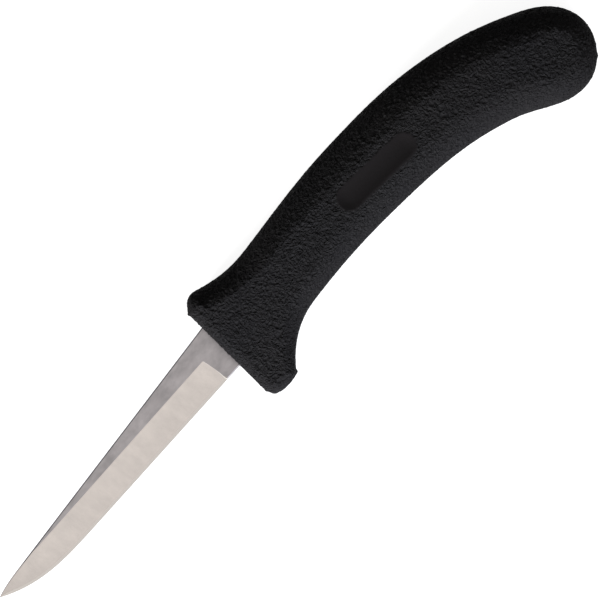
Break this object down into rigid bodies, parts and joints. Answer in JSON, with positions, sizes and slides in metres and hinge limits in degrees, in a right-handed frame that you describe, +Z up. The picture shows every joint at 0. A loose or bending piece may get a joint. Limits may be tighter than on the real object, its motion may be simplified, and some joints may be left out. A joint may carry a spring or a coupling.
{
  "type": "poultry knife",
  "caption": "Short pointed knife: a hollow-ground steel blade whose tang is moulded into a curved, textured grip with a flared finger stop.",
  "frame": {"origin": "middle of the footprint's bounding box, on the surface that the grip's lower land rests on", "axes": "+X from the blade's tip to the handle's butt along the spine, +Y from the cutting edge to the spine, +Z up out of the side with the oval hollow"},
  "size_m": [0.2156, 0.0502, 0.019],
  "materials": {
    "blade": "satin, ground across the bevel",
    "handle": "moulded leather grain, smooth in the oval hollow"
  },
  "bodies": {
    "root": {"blade": "blade", "handle": "handle"}
  },
  "joints": []
}
